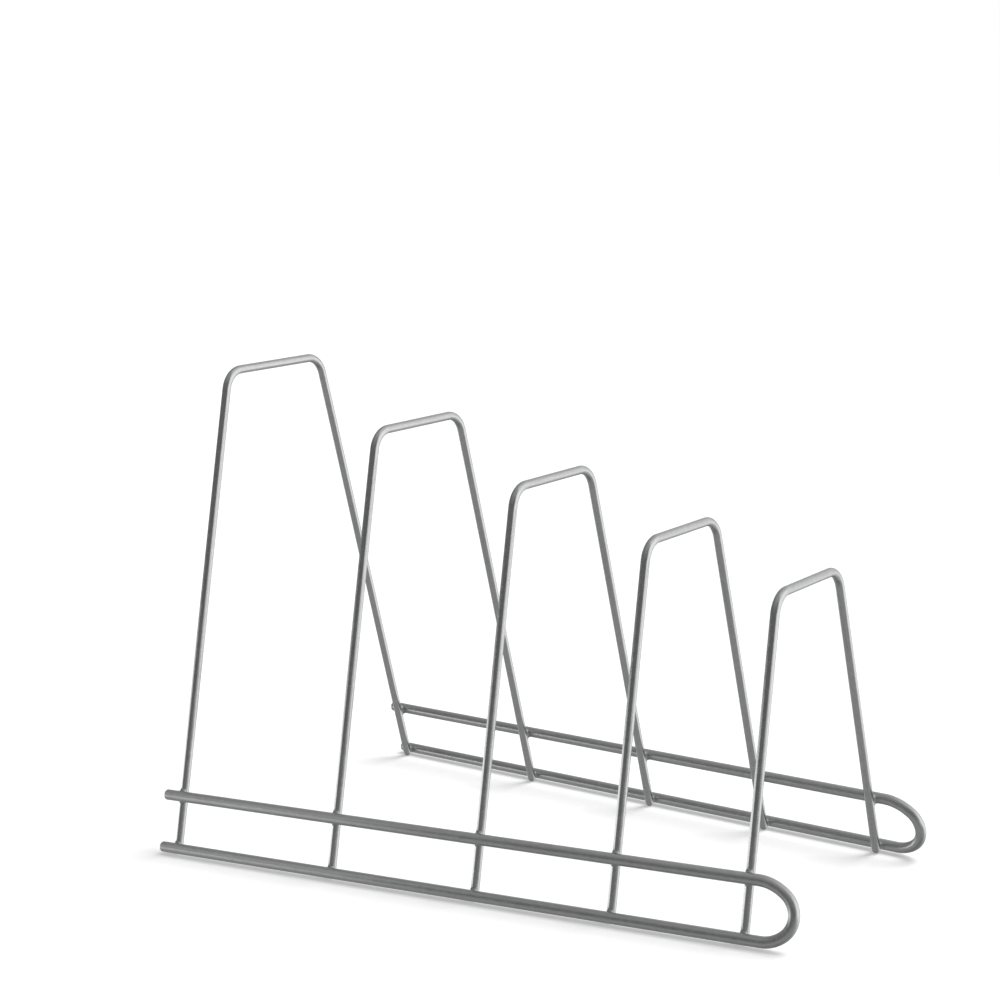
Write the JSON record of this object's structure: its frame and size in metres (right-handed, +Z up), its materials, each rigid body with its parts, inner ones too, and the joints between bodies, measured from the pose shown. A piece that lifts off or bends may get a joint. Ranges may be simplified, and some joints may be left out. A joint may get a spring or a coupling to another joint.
{
  "type": "tray rack",
  "caption": "Free-standing wire rack: divider hoops of falling height, welded between hairpin-shaped side rails, hold trays, boards and lids upright.",
  "frame": {"origin": "on the table, under the middle of the rack's outline; the tips of the hoops' legs touch the table", "axes": "+X along the rack from its tall end to its short end, +Y to the rear side, +Z up"},
  "size_m": [0.3576, 0.2148, 0.251],
  "materials": {
    "satin_nickel_wire": "satin nickel plate on round steel wire, slightly grainy, not polished to a mirror"
  },
  "bodies": {
    "root": {"rear_side_rail": "satin_nickel_wire", "front_side_rail": "satin_nickel_wire", "divider_hoop_1": "satin_nickel_wire", "divider_hoop_2": "satin_nickel_wire", "divider_hoop_3": "satin_nickel_wire", "divider_hoop_4": "satin_nickel_wire", "divider_hoop_5": "satin_nickel_wire"}
  },
  "joints": []
}
